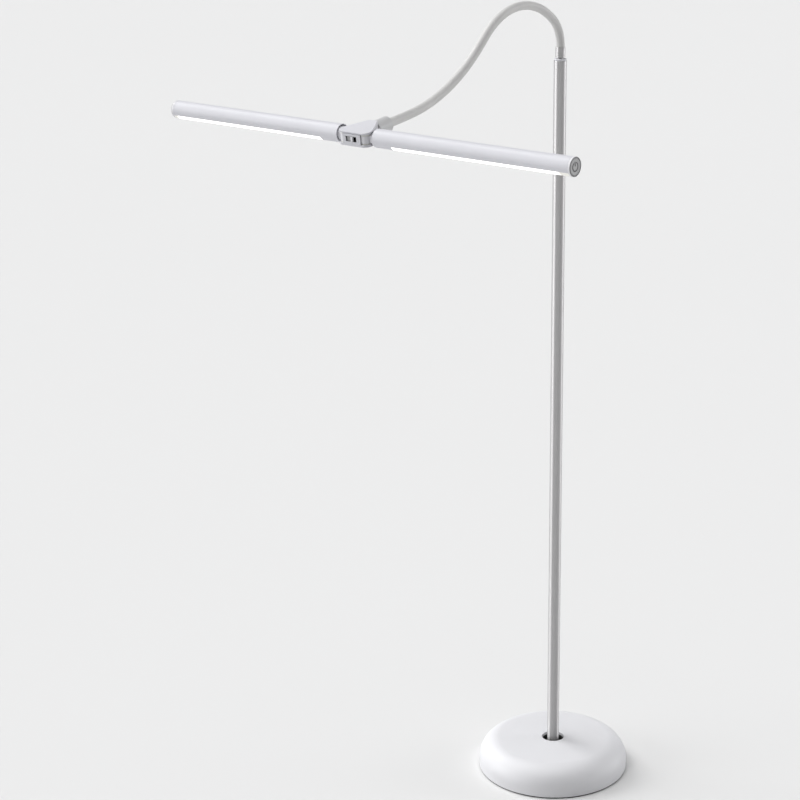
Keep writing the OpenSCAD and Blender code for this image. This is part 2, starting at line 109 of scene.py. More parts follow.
HUB_MATRIX = Matrix.Translation((0, -HUB[0] * MM, HUB[1] * MM)) @ Matrix.Rotation(
    math.radians(-HUB[2]), 4, "X"
)
# Turns that lay a shape made about Z along X or Y
AXIS_X = Matrix.Rotation(math.radians(90), 4, "Y")
AXIS_Y = Matrix.Rotation(math.radians(-90), 4, "X")
INLET_MATRIX = Matrix.Translation((0, 0, INLET_Z * MM)) @ AXIS_Y


def light_matrix(side):
    """The light's own frame: +X out along the tube, -Z towards the middle of its diffuser."""
    flip = Matrix.Scale(-1, 4, (1, 0, 0)) if side == "left" else Matrix.Identity(4)
    return HUB_MATRIX @ flip


# ---- Materials ----


def new_node(tree, kind, **values):
    n = tree.nodes.new(kind)
    for key, value in values.items():
        if key in n.inputs:
            n.inputs[key].default_value = value
        else:
            setattr(n, key, value)
    return n


def noise(tree, coords, scale, detail=3.0, roughness=0.5, stretch=None):
    source = coords.outputs["Object"]
    if stretch:
        mapping = new_node(tree, "ShaderNodeMapping")
        mapping.inputs["Scale"].default_value = stretch
        tree.links.new(source, mapping.inputs["Vector"])
        source = mapping.outputs["Vector"]
    n = new_node(tree, "ShaderNodeTexNoise", Scale=scale, Detail=detail, Roughness=roughness)
    tree.links.new(source, n.inputs["Vector"])
    return n.outputs["Fac"]


def ramp(tree, source, low, high, start=0.3, end=0.7, easing="LINEAR"):
    n = new_node(tree, "ShaderNodeMapRange", interpolation_type=easing)
    n.inputs["From Min"].default_value = start
    n.inputs["From Max"].default_value = end
    n.inputs["To Min"].default_value = low
    n.inputs["To Max"].default_value = high
    tree.links.new(source, n.inputs["Value"])
    return n.outputs["Result"]


def material(
    name,
    colour,
    rough=0.4,
    metallic=0.0,
    vary=0.03,
    vary_scale=18.0,
    rough_vary=0.06,
    grain=900.0,
    bump=0.04,
    depth=0.0002,
    stretch=None,
    edge_lightening=0.0,
    specular=0.5,
    brushed=0.0,
    glow=0.0,
    glow_colour=(1.0, 0.98, 0.94),
):
    """A principled material with slow colour drift, uneven gloss and a fine bumped grain."""
    mat = bpy.data.materials.new(name)
    mat.use_nodes = True
    tree = mat.node_tree
    shader = tree.nodes["Principled BSDF"]
    coords = tree.nodes.new("ShaderNodeTexCoord")
    shader.inputs["Metallic"].default_value = metallic
    shader.inputs["Specular IOR Level"].default_value = specular
    # Brushed round the Z axis, so that highlights run along the pole
    shader.inputs["Anisotropic"].default_value = brushed
    shader.inputs["Anisotropic Rotation"].default_value = 0.25 if brushed else 0.0
    drift = noise(tree, coords, vary_scale, 4.0)
    mix = new_node(tree, "ShaderNodeMix", data_type="RGBA")
    mix.inputs["A"].default_value = (*[c * (1 - vary) for c in colour], 1)
    mix.inputs["B"].default_value = (*[min(1, c * (1 + vary)) for c in colour], 1)
    tree.links.new(ramp(tree, drift, 0.0, 1.0), mix.inputs["Factor"])
    result = mix.outputs["Result"]
    # Sharp convex edges are lightened: a painted highlight along the edges of the white paint and
    # plastic, scuffing on the black plastic
    if edge_lightening:
        geometry = tree.nodes.new("ShaderNodeNewGeometry")
        edge = ramp(tree, geometry.outputs["Pointiness"], 0.0, edge_lightening, 0.51, 0.6)
        edge_lightened = new_node(tree, "ShaderNodeMix", data_type="RGBA")
        edge_lightened.inputs["B"].default_value = (*[min(1, c * 1.25 + 0.03) for c in colour], 1)
        tree.links.new(edge, edge_lightened.inputs["Factor"])
        tree.links.new(result, edge_lightened.inputs["A"])
        result = edge_lightened.outputs["Result"]
    tree.links.new(result, shader.inputs["Base Color"])
    gloss = noise(tree, coords, vary_scale * 6, 3.0, stretch=stretch)
    tree.links.new(
        ramp(tree, gloss, max(0.02, rough - rough_vary), rough + rough_vary),
        shader.inputs["Roughness"],
    )
    fine = noise(tree, coords, grain, 2.0, 0.6, stretch)
    bumped = new_node(tree, "ShaderNodeBump", Strength=bump, Distance=depth)
    tree.links.new(fine, bumped.inputs["Height"])
    tree.links.new(bumped.outputs["Normal"], shader.inputs["Normal"])
    if glow:
        shader.inputs["Emission Color"].default_value = (*glow_colour, 1)
        shader.inputs["Emission Strength"].default_value = glow
        # The glow is no brighter than a white wall, so sampling it as a lamp only adds noise
        mat.cycles.emission_sampling = "NONE"
    return mat


MATS = {
    "base_paint": material(
        "base_paint", (0.64, 0.64, 0.66), 0.5, vary=0.012, vary_scale=14, grain=420, bump=0.05,
        depth=0.0003, edge_lightening=0.15,
    ),
    "pole_paint": material(
        "pole_paint", (0.53, 0.525, 0.528), 0.42, metallic=0.8, vary=0.006, vary_scale=9,
        rough_vary=0.015, grain=500, bump=0.02, depth=0.0001, brushed=0.9,
    ),
    "ferrule_paint": material(
        "ferrule_paint", (0.52, 0.515, 0.518), 0.42, metallic=0.8, vary=0.015, grain=700,
        bump=0.04, brushed=0.9,
    ),
    "socket_paint": material(
        "socket_paint", (0.50, 0.50, 0.505), 0.5, vary=0.02, vary_scale=60, grain=900, bump=0.03,
        depth=0.0001,
    ),
    "sleeve": material(
        "sleeve", (0.53, 0.525, 0.52), 0.5, specular=0.4, vary=0.03, vary_scale=40, grain=900,
        bump=0.04, depth=0.0001,
    ),
    # The hub's body and lid are one white plastic; the body's colour is darker, painted shade for
    # its front face, which faces away from the lights
    "hub_shaded_plastic": material(
        "hub_shaded_plastic", (0.51, 0.51, 0.54), 0.45, vary=0.012, vary_scale=50, grain=3200, bump=0.1,
        depth=0.0001, edge_lightening=0.3,
    ),
    "hub_top_plastic": material(
        "hub_top_plastic", (0.60, 0.60, 0.635), 0.42, vary=0.012, vary_scale=50, grain=3200,
        bump=0.1, depth=0.0001, edge_lightening=0.4,
    ),
    "arm_plastic": material(
        "arm_plastic", (0.64, 0.64, 0.67), 0.42, vary=0.012, vary_scale=50, grain=3200, bump=0.1,
        depth=0.0001,
    ),
    "tube_paint": material(
        "tube_paint", (0.58, 0.58, 0.615), 0.48, specular=0.4, vary=0.012, vary_scale=20,
        grain=600, bump=0.04, stretch=(0.15, 1, 1),
    ),
    "diffuser": material(
        "diffuser", (0.95, 0.95, 0.93), 0.55, vary=0.01, vary_scale=30, grain=2600, bump=0.12,
        depth=0.0001, glow=0.85,
    ),
    # The tube's faces past the diffuser's end, within its width: the diffuser's cream colour with a
    # faint painted glow, as if lit by the lamp inside
    "diffuser_end": material(
        "diffuser_end", (0.80, 0.79, 0.74), 0.5, vary=0.01, vary_scale=30, grain=2600, bump=0.1,
        depth=0.0001, glow=0.12,
    ),
    "cap_plastic": material(
        "cap_plastic", (0.68, 0.68, 0.70), 0.42, vary=0.015, vary_scale=60, grain=3000, bump=0.1,
        depth=0.0001,
    ),
    "bezel_plastic": material(
        "bezel_plastic", (0.19, 0.19, 0.193), 0.4, vary=0.03, vary_scale=80, grain=3000, bump=0.1,
        depth=0.0001,
    ),
    "button_plastic": material(
        "button_plastic", (0.40, 0.40, 0.405), 0.36, vary=0.02, vary_scale=80, grain=3500,
        bump=0.12, depth=0.0001,
    ),
    "symbol_print": material(
        "symbol_print", (0.10, 0.10, 0.102), 0.55, vary=0.05, vary_scale=150, grain=4000,
        bump=0.1, depth=0.00005,
    ),
    "black_plastic": material(
        "black_plastic", (0.010, 0.010, 0.011), 0.5, vary=0.15, vary_scale=80, grain=2800,
        bump=0.15, depth=0.0001, edge_lightening=0.2,
    ),
    # Painted shade: the grey of the slider's skirt stands in for the shadow in its recess
    "slider_skirt_shade": material(
        "slider_skirt_shade", (0.30, 0.30, 0.305), 0.45, vary=0.06, vary_scale=120, grain=2800, bump=0.1,
        depth=0.0001,
    ),
    "foot_rubber": material(
        "foot_rubber", (0.020, 0.020, 0.021), 0.75, vary=0.2, vary_scale=45, grain=1500, bump=0.3,
        depth=0.0004, specular=0.3,
    ),
    "nickel": material(
        "nickel", (0.62, 0.62, 0.57), 0.26, metallic=1.0, vary=0.05, vary_scale=120, grain=1500,
        bump=0.08, depth=0.0001,
    ),
    "zinc": material(
        "zinc", (0.58, 0.59, 0.60), 0.32, metallic=1.0, vary=0.1, vary_scale=150, grain=1500,
        bump=0.1, depth=0.0001,
    ),
    "steel": material(
        "steel", (0.50, 0.51, 0.52), 0.28, metallic=1.0, vary=0.06, vary_scale=90, grain=1800,
        bump=0.1, depth=0.0001, stretch=(1, 1, 0.2),
    ),
    "cast_iron": material(
        "cast_iron", (0.06, 0.06, 0.065), 0.7, metallic=0.6, vary=0.25, vary_scale=60, grain=700,
        bump=0.5, depth=0.0006,
    ),
    "raw_aluminium": material(
        "raw_aluminium", (0.72, 0.73, 0.74), 0.3, metallic=1.0, vary=0.04, vary_scale=60,
        grain=1500, bump=0.1, depth=0.0001, stretch=(0.05, 1, 1),
    ),
    "washer_nylon": material(
        "washer_nylon", (0.62, 0.62, 0.57), 0.5, vary=0.04, vary_scale=90, grain=2500, bump=0.1,
        depth=0.0001,
    ),
    "board": material(
        "board", (0.72, 0.73, 0.69), 0.4, vary=0.03, vary_scale=150, grain=2500, bump=0.1,
        depth=0.0001,
    ),
    "green_board": material(
        "green_board", (0.03, 0.13, 0.05), 0.4, vary=0.12, vary_scale=150, grain=2500, bump=0.1,
        depth=0.0001,
    ),
    "phosphor": material(
        "phosphor", (0.85, 0.66, 0.12), 0.35, vary=0.05, vary_scale=300, grain=2500, bump=0.1,
        depth=0.0001, glow=0.6, glow_colour=(1.0, 0.93, 0.75),
    ),
}


def paint(obj, name):
    obj.data.materials.clear()
    obj.data.materials.append(MATS[name])


# ---- Mesh helpers ----


def apply_modifiers(obj):
    bpy.context.view_layer.update()
    evaluated = obj.evaluated_get(bpy.context.evaluated_depsgraph_get())
    mesh = bpy.data.meshes.new_from_object(evaluated)
    obj.modifiers.clear()
    obj.data = mesh


def shade(obj, smooth):
    """Smooth shading that follows the large faces, so that rounded edges don't tint them."""
    obj.data.shade_smooth()
    obj.data.set_sharp_from_angle(angle=math.radians(smooth))
    obj.modifiers.new("normals", "WEIGHTED_NORMAL").keep_sharp = True
    apply_modifiers(obj)


def finish_mesh(name, bm, mat, body=None, stands_for=(), slot=None, smooth=35.0):
    bmesh.ops.remove_doubles(bm, verts=bm.verts, dist=1e-7)
    bmesh.ops.recalc_face_normals(bm, faces=bm.faces)
    mesh = bpy.data.meshes.new(name)
    bm.to_mesh(mesh)
    bm.free()
    obj = bpy.data.objects.new(name, mesh)
    bpy.context.scene.collection.objects.link(obj)
    paint(obj, mat)
    shade(obj, smooth)
    if body:
        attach(obj, body)
    if stands_for:
        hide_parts(*stands_for)
    return obj


def rounded(points, radius, steps=4):
    """A closed (r, z) outline with its corners rounded; each point may carry its own radius."""
    out = []
    count = len(points)
    for i, p in enumerate(points):
        r = p[2] if len(p) > 2 else radius
        here = Vector(p[:2])
        back = Vector(points[i - 1][:2]) - here
        ahead = Vector(points[(i + 1) % count][:2]) - here
        angle = back.angle(ahead) if back.length and ahead.length else math.pi
        if r <= 0 or angle > math.radians(170):
            out.append(here)
            continue
        cut = min(r / math.tan(angle / 2), back.length * 0.48, ahead.length * 0.48)
        real = cut * math.tan(angle / 2)
        a, b = here + back.normalized() * cut, here + ahead.normalized() * cut
        centre = here + (back.normalized() + ahead.normalized()).normalized() * (
            real / math.sin(angle / 2)
        )
        va, vb = a - centre, b - centre
        turn = va.angle_signed(vb)
        for k in range(steps + 1):
            out.append(centre + (Matrix.Rotation(-turn * k / steps, 2) @ va))
    return out


def lathe(bm, outline, segments=96, matrix=Matrix.Identity(4)):
    """Turns a closed (r, z) outline, in millimetres, about Z."""
    rings = []
    for k in range(segments):
        a = 2 * math.pi * k / segments
        c, s = math.cos(a), math.sin(a)
        rings.append(
            [
                bm.verts.new(matrix @ Vector((p[0] * c * MM, p[0] * s * MM, p[1] * MM)))
                for p in outline
            ]
        )
    count = len(outline)
    for k in range(segments):
        here, there = rings[k], rings[(k + 1) % segments]
        for j in range(count):
            n = (j + 1) % count
            if outline[j][0] < 1e-6 and outline[n][0] < 1e-6:
                continue
            corners = [here[j], there[j], there[n], here[n]]
            if outline[j][0] < 1e-6:
                corners = [here[j], there[n], here[n]]
            elif outline[n][0] < 1e-6:
                corners = [here[j], there[j], here[n]]
            bm.faces.new(corners)


def turned(name, outline, mat, segments=96, matrix=Matrix.Identity(4), **kwargs):
    bm = bmesh.new()
    lathe(bm, outline, segments, matrix)
    return finish_mesh(name, bm, mat, **kwargs)


# What counts as an edge: to round it, and to keep it sharp in the shading
ROUND_ANGLE, SHARP_ANGLE = 35.0, 30.0


def refined(name, node, mat, body, width, segments, slot):
    """A copy of a CAD node with flat faces joined and its edges rounded."""
    bm = bmesh.new()
    bm.from_mesh(nodes[node].data)
    bmesh.ops.remove_doubles(bm, verts=bm.verts, dist=2e-6)
    bmesh.ops.dissolve_limit(
        bm, angle_limit=math.radians(0.6), verts=bm.verts, edges=bm.edges, delimit={"NORMAL"}
    )
    edges = [
        e
        for e in bm.edges
        if len(e.link_faces) == 2 and e.calc_face_angle(0) > math.radians(ROUND_ANGLE)
    ]
    bmesh.ops.bevel(
        bm, geom=edges, offset=width * MM, segments=segments, profile=0.5, affect="EDGES",
        clamp_overlap=True, harden_normals=False,
    )
    return finish_mesh(name, bm, mat, body, (node,), slot, SHARP_ANGLE)


def two_tone(obj, mat, matrix, chosen):
    """Gives the faces that are chosen by their place, in that matrix's frame, a second material."""
    obj.data.materials.append(MATS[mat])
    inverse = matrix.inverted()
    for polygon in obj.data.polygons:
        if chosen(inverse @ polygon.center / MM):
            polygon.material_index = 1


# ---- Base ----

crown_z = BASE_H - CROWN_R
shoulder_x = BASE_R - SHOULDER_R
shoulder_z = crown_z + math.sqrt((CROWN_R - SHOULDER_R) ** 2 - shoulder_x**2)
meet = math.atan2(shoulder_x, shoulder_z - crown_z)


def dome(inset, first_r, steps_crown=10, steps_shoulder=26):
    """Outline points from the opening over the crown and shoulder down to the wall."""
    points = []
    start = math.asin(first_r / (CROWN_R - inset))
    for k in range(steps_crown + 1):
        a = start + (meet - start) * k / steps_crown
        points.append(
            ((CROWN_R - inset) * math.sin(a), crown_z + (CROWN_R - inset) * math.cos(a))
        )
    for k in range(1, steps_shoulder + 1):
        a = meet + (math.pi / 2 - meet) * k / steps_shoulder
        points.append(
            (
                shoulder_x + (SHOULDER_R - inset) * math.sin(a),
                shoulder_z + (SHOULDER_R - inset) * math.cos(a),
            )
        )
    return points


def base_cover():
    outer = dome(0.0, OPENING_R + LIP_ROLL)
    inner = dome(COVER_WALL, OPENING_R + LIP_WALL)
    hem = 0.7
    edge = [
        (BASE_R, FOOT_H + hem),
        (BASE_R - 0.2, FOOT_H + 0.25),
        (BASE_R - hem, FOOT_H),
        (BASE_R - COVER_WALL, FOOT_H + 0.1),
    ]
    lip_top = outer[0][1]
    roll = [
        (
            OPENING_R + LIP_ROLL - LIP_ROLL * math.sin(math.radians(a)),
            lip_top - LIP_ROLL + LIP_ROLL * math.cos(math.radians(a)),
        )
        for a in (90, 72, 54, 36, 18)
    ]
    lip = [
        (OPENING_R + LIP_WALL, BASE_H - LIP_DEPTH),
        (OPENING_R, BASE_H - LIP_DEPTH),
    ]
    outline = outer + edge + inner[::-1] + lip + roll
    bm = bmesh.new()
    lathe(bm, outline, 256)
    cover = finish_mesh("base_dome", bm, "base_paint", smooth=40)
    cutter_bm = bmesh.new()
    cutter_r, near, far = INLET_R + 0.1, BASE_R - 25, BASE_R + 10
    lathe(
        cutter_bm, [(0, near), (cutter_r, near), (cutter_r, far), (0, far)], 64, INLET_MATRIX
    )
    cutter = finish_mesh("inlet_cutter", cutter_bm, "base_paint")
    cut = cover.modifiers.new("inlet", "BOOLEAN")
    cut.operation, cut.solver, cut.object = "DIFFERENCE", "EXACT", cutter
    apply_modifiers(cover)
    bpy.data.objects.remove(cutter)
    shade(cover, 40)
    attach(cover, "base")
    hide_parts("base_cover")


base_cover()

pad_r = BASE_R - 1.6
pad = [(0, 0), (0, FOOT_H), (pad_r, FOOT_H, 0.3), (pad_r, 0, 0.7)]
mouth, bottom, depth = 1.6, 1.2, 0.5
for groove in (112, 104, 60, 52):
    pad += [(groove + mouth, 0, 0.3), (groove + bottom, depth, 0.2)]
    pad += [(groove - bottom, depth, 0.2), (groove - mouth, 0, 0.3)]
turned(
    "base_pad", rounded(pad, 0, 3), "foot_rubber", 192, body="base", stands_for=("foot_pad",),
    slot="dark_rubber",
)

cup_out, cup_in, cup_z0, cup_z1 = OPENING_R - 0.05, OPENING_R - 1.45, 33.0, 45.0
turned(
    "opening_cup",
    rounded(
        [
            (POLE_R + 0.05, cup_z0),
            (cup_out, cup_z0, 0.5),
            (cup_out, cup_z1, 0.4),
            (cup_in, cup_z1, 0.4),
            (cup_in - 0.5, cup_z0 + 2, 1.2),
            (POLE_R + 0.05, cup_z0 + 2, 0.2),
        ],
        0,
        4,
    ),
    "black_plastic", 128, body="base", stands_for=("recess_cup",), slot="black_plastic",
)


def hex_nut(name, across, bore, z0, height, mat, node, slot):
    """A hexagon nut on the Z axis, corners on X, with turned corners and a chamfered bore."""
    bm = bmesh.new()
    flat = across / 2
    start = flat * 0.97
    segments = 96
    rings = []
    for k in range(segments):
        a = 2 * math.pi * k / segments
        off = a % (math.pi / 3) - math.pi / 6
        corner = flat / math.cos(off) - 0.12 * (abs(off) / (math.pi / 6)) ** 6
        drop = max(0.0, corner - start) * 0.62
        c, s = math.cos(a), math.sin(a)
        outline = [
            (bore, 0.5), (bore + 0.5, 0), (start, 0), (corner, drop), (corner, height - drop),
            (start, height), (bore + 0.5, height), (bore, height - 0.5),
        ]
        rings.append(
            [bm.verts.new((r * c * MM, r * s * MM, (z0 + z) * MM)) for r, z in outline]
        )
    for k in range(segments):
        here, there = rings[k], rings[(k + 1) % segments]
        for j in range(8):
            n = (j + 1) % 8
            bm.faces.new([here[j], there[j], there[n], here[n]])
    return finish_mesh(name, bm, mat, "base", (node,), slot, 20)


hex_nut("foot_nut", 24.0, POLE_R + 0.02, 35.0, 6.0, "nickel", "pole_lock_nut", "nickel")

inlet_outline = rounded(
    [
        (0, INLET_FACE - INLET_LENGTH),
        (INLET_R, INLET_FACE - INLET_LENGTH, 0.5),
        (INLET_R, INLET_FACE, 0.5),
        (INLET_BORE_R + 0.5, INLET_FACE, 0.3),
        (INLET_BORE_R, INLET_FACE - 0.8, 0.3),
        (INLET_BORE_R, INLET_FACE - INLET_BORE_DEPTH, 0.2),
        (0, INLET_FACE - INLET_BORE_DEPTH),
    ],
    0,
    4,
)
turned(
    "inlet_socket", inlet_outline, "black_plastic", 64, INLET_MATRIX,
    body="base", stands_for=("dc_inlet",), slot="black_plastic",
)

# ---- Pole ----

pole_bore = POLE_R - 1.2
turned(
    "pole_tube",
    rounded(
        [
            (pole_bore, POLE_FOOT, 0.3),
            (POLE_R, POLE_FOOT, 0.4),
            (POLE_R, POLE_TOP, 0.45),
            (pole_bore, POLE_TOP, 0.3),
        ],
        0,
        4,
    ),
    "pole_paint", 128, body="base", stands_for=("pole",), slot="white_paint",
)
turned(
    "top_bush",
    rounded(
        [
            (SPIGOT_R + 0.07, POLE_TOP - 18),
            (pole_bore, POLE_TOP - 18, 0.4),
            (pole_bore, POLE_TOP, 0.1),
            (POLE_R - 1.1, POLE_TOP, 0.1),
            (POLE_R - 1.1, POLE_TOP + 0.9, 0.1),
            (POLE_R, POLE_TOP + 1.1, 0.3),
            (POLE_R, POLE_TOP + 3, 0.7),
            (SPIGOT_R + 0.07, POLE_TOP + 3, 0.3),
        ],
        0,
        4,
    ),
    "arm_plastic", 128, body="base", stands_for=("pole_bush",), slot="white_plastic",
)

# ---- Neck ----

turned(
    "neck_collar",
    rounded(
        [
            (CORE_BORE_R, POLE_TOP - 21),
            (SPIGOT_R, POLE_TOP - 21, 0.4),
            (SPIGOT_R, POLE_TOP - 19.6, 0.1),
            (SPIGOT_R - 0.6, POLE_TOP - 19.5, 0.1),
            (SPIGOT_R - 0.6, POLE_TOP - 18.3, 0.1),
            (SPIGOT_R, POLE_TOP - 18.3, 0.1),
            (SPIGOT_R, POLE_TOP + 4.5, 0.1),
            (COLLAR_R, POLE_TOP + 4.5, 0.6),
            (COLLAR_R, POLE_TOP + 17.6, 0.15),
            (COLLAR_R - 0.35, POLE_TOP + 18.0, 0.1),
            (COLLAR_R, POLE_TOP + 18.4, 0.15),
            (COLLAR_R, POLE_TOP + 20.0, 0.6),
            (SLEEVE_BORE_R, POLE_TOP + 20.0, 0.25),
            (SLEEVE_BORE_R, POLE_TOP + 10, 0.1),
            (CORE_BORE_R, POLE_TOP + 10),
        ],
        0,
        4,
    ),
    "ferrule_paint", 96, body="neck_root", stands_for=("neck_ferrule",), slot="light_grey_metal",
)


def neck_tube(name, first, last, steps, mat, radii):
    """A tube over stretches first to last: an outer wall, an inner wall and closed ends."""
    places = [PLACES[first]]
    for i in range(first, last + 1):
        for k in range(1, steps[i - first] + 1):
            places.append(along(PLACES[i], STRETCHES[i], k / steps[i - first]))
    bm = bmesh.new()
    segments = 64
    outer, inner = [], []
    for u, z, h in places:
        a = math.radians(h)
        normal = Vector((0, math.sin(a), math.cos(a)))
        centre = Vector((0, -u, z))
        for ring, radius in zip((outer, inner), radii):
            ring.append(
                [
                    bm.verts.new(
                        (
                            centre
                            + Vector((radius * math.cos(t), 0, 0))
                            + normal * radius * math.sin(t)
                        )
                        * MM
                    )
                    for t in (2 * math.pi * k / segments for k in range(segments))
                ]
            )
    for rings in (outer, inner):
        for here, there in zip(rings, rings[1:]):
            for k in range(segments):
                n = (k + 1) % segments
                bm.faces.new([here[k], here[n], there[n], there[k]])
    for end in (0, -1):
        for k in range(segments):
            n = (k + 1) % segments
            bm.faces.new([outer[end][k], outer[end][n], inner[end][n], inner[end][k]])
    return finish_mesh(name, bm, mat, smooth=50)


# Piece, first and last stretch, steps in each, the bodies it joins, and the places between which
# it bends; the last one bends up to the socket's mouth, part of the way along the last stretch
SLEEVES = [
    ("neck_skin_1", 0, 2, (7, 16, 16), "neck_root", "neck_1", 1, 3),
    ("neck_skin_2", 3, 4, (16, 16), "neck_1", "neck_2", 3, 5),
    ("neck_skin_3", 5, 7, (16, 10, 16), "neck_2", "neck_3", 5, 8),
    ("neck_skin_4", 8, 9, (16, 16), "neck_3", "neck_4", 8, 10),
    ("neck_skin_5", 10, 11, (16, 24), "neck_4", "neck_5", 10, None),
]
for index, (name, first, last, steps, a, b, start, end) in enumerate(SLEEVES, 1):
    # The flexible core runs along the same stretches as its sleeve, inside it
    skin = neck_tube(name, first, last, steps, "sleeve", (NECK_R, NECK_BORE_R))
    core = neck_tube("flexible_core_%d" % index, first, last, steps, "steel", (CORE_R, CORE_BORE_R))
    for piece in (skin, core):
        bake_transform(piece)
    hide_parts("neck_sleeve_%d" % index)
    cores = ["neck_core_%d" % index] + (["neck_core_0"] if index == 1 else [])
    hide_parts(*cores)

# ---- Hub ----

# Where the lid leans, in the hub's frame: from the top of the lean down to its foot, from the
# front back to LID_BACK, and outside its corners' middles, which are at LID_X each way
LEAN_TOP, LEAN_HEIGHT, LEAN_BY = 8.1, 1.3, 1.5
LID_BACK, LID_FADE = 8.0, 12.0
LID_X, LID_Y, LID_R = 16.0, -8.0, 8.0


def lean_in(obj):
    """Draws the lid's lower edge in at the front and sides, so that it overhangs the hub."""
    inverse = HUB_MATRIX.inverted()
    for v in obj.data.vertices:
        p = inverse @ v.co / MM
        out = Vector((p.x - max(-LID_X, min(LID_X, p.x)), p.y - LID_Y, 0))
        if p.z > LEAN_TOP or p.y > LID_BACK or out.length < LID_R:
            continue
        part = min(1.0, (LEAN_TOP - p.z) / LEAN_HEIGHT) * min(1.0, (LID_BACK - p.y) / LID_FADE)
        v.co = HUB_MATRIX @ ((p - out.normalized() * LEAN_BY * part) * MM)
    shade(obj, SHARP_ANGLE)


turned(
    "neck_socket",
    rounded(
        [
            (CORE_BORE_R, 13),
            (SPIGOT_R, 13, 0.3),
            (SPIGOT_R, 14.5, 0.1),
            (SPIGOT_R - 0.8, 14.5, 0.1),
            (SPIGOT_R - 0.8, 15.7, 0.1),
            (SPIGOT_R, 15.7, 0.1),
            (SPIGOT_R, 30, 0.1),
            (SOCKET_R - 0.4, 30, 0.3),
            (SOCKET_R, 31.2, 0.4),
            (SOCKET_R, 57, 1.1),
            (SLEEVE_BORE_R + 0.6, 57, 0.3),
            (SLEEVE_BORE_R, 56.2, 0.3),
            (SLEEVE_BORE_R, 44, 0.1),
            (CORE_BORE_R, 44),
        ],
        0,
        5,
    ),
    "socket_paint", 128, HUB_MATRIX @ AXIS_Y,
    body="neck_5", stands_for=("hub_socket",), slot="light_grey_metal",
)
# The body's darker plastic paints the shade on its front
refined("hub_shell", "hub_body", "hub_shaded_plastic", "hub", 0.45, 3, slot="white_plastic")
lid = refined("hub_lid", "hub_cover", "hub_top_plastic", "hub", 0.6, 4, slot="white_plastic")
lean_in(lid)
refined("switch_box", "switch_housing", "black_plastic", "hub", 0.2, 2, slot="black_plastic")
slider = refined(
    "slider_knob", "switch_slider", "arm_plastic", "slider", 0.25, 3, slot="white_plastic"
)
# The skirt's grey is painted shade
two_tone(slider, "slider_skirt_shade", HUB_MATRIX, lambda p: p.x < KNOB_X)
for side in ("left", "right"):
    refined(
        "swivel_" + side, "knuckle_" + side, "arm_plastic", "arm_" + side, 0.4, 3,
        slot="white_plastic",
    )

# ---- Lights ----

for side in ("left", "right"):
    body = "light_" + side
    tube = refined(
        "lamp_tube_" + side, "tube_" + side, "tube_paint", body, 0.3, 3, slot="white_aluminium"
    )
    # These faces get a faint painted glow
    two_tone(
        tube, "diffuser_end", light_matrix(side),
        lambda p: p.x > DIFFUSER_END and -p.z > abs(p.y) * DIFFUSER_SLOPE,
    )
    refined("lens_" + side, "diffuser_" + side, "diffuser", body, 0.25, 2, slot="diffuser")
    turned(
        "inner_collar_" + side,
        rounded(
            [
                (INNER_COLLAR_BORE_R, INNER_COLLAR_START),
                (TUBE_BORE_R, INNER_COLLAR_START, 0.5),
                (TUBE_BORE_R, INNER_COLLAR_END, 0.5),
                (INNER_COLLAR_BORE_R, INNER_COLLAR_END, 0.3),
            ],
            0.4,
            3,
        ),
        "arm_plastic", 96, light_matrix(side) @ AXIS_X,
        body=body, stands_for=("collar_" + side,), slot="white_plastic",
    )

end = TUBE_END["left"]
plain_end = turned(
    "plain_end",
    rounded(
        [
            (0, end),
            (CAP_BORE_R, end, 0.1),
            (CAP_BORE_R, DIFFUSER_END + 1, 0.3),
            (TUBE_BORE_R, DIFFUSER_END + 1, 0.3),
            (TUBE_BORE_R, end, 0.05),
            (TUBE_R - 0.35, end, 0.05),
            (TUBE_R - 0.35, end + 0.35, 0.05),
            (TUBE_R, end + 0.35, 0.15),
            (TUBE_R, end + CAP_H, 1.1),
            (0, end + CAP_H),
        ],
        0,
        5,
    ),
    "cap_plastic", 128, light_matrix("left") @ AXIS_X,
    body="light_left", stands_for=("end_cap_left",), slot="white_plastic",
)
# The cap's rounded rim and end are dark grey like the bezel on the other tube, and this also paints
# the shade on its rounded edge
two_tone(plain_end, "bezel_plastic", light_matrix("left"), lambda p: p.x > end + CAP_H - 1.2)
end = TUBE_END["right"]
button_ring = turned(
    "button_ring",
    rounded(
        [
            (BEZEL_BORE_R, end - BEZEL_DEPTH, 0.2),
            (TUBE_BORE_R, end - BEZEL_DEPTH, 0.2),
            (TUBE_BORE_R, end, 0.05),
            (TUBE_R - 0.35, end, 0.05),
            (TUBE_R - 0.35, end + 0.35, 0.05),
            (TUBE_R, end + 0.35, 0.15),
            (TUBE_R, end + CAP_H, 0.8),
            (BEZEL_BORE_R, end + CAP_H, 0.45),
        ],
        0,
        5,
    ),
    "bezel_plastic", 128, light_matrix("right") @ AXIS_X,
    body="light_right", stands_for=("button_bezel",), slot="bezel_grey",
)
two_tone(button_ring, "cap_plastic", light_matrix("right"), lambda p: p.x < end + CAP_H - 0.7)
face = end + CAP_H - 0.4
turned(
    "push_button",
    rounded(
        [
            (0, face - 3.2),
            (1.5, face - 3.2, 0.2),
            (1.5, face - 2.2, 0.2),
            (BUTTON_R, face - 2.2, 0.2),
            (BUTTON_R, face, 0.6),
            (8.6, face, 0.3),
            (8.2, face - 0.25, 0.3),
            (0, face - 0.25),
        ],
        0,
        5,
    ),
    "button_plastic", 128, light_matrix("right") @ AXIS_X,
    body="button", stands_for=("power_button",), slot="button_grey",
)


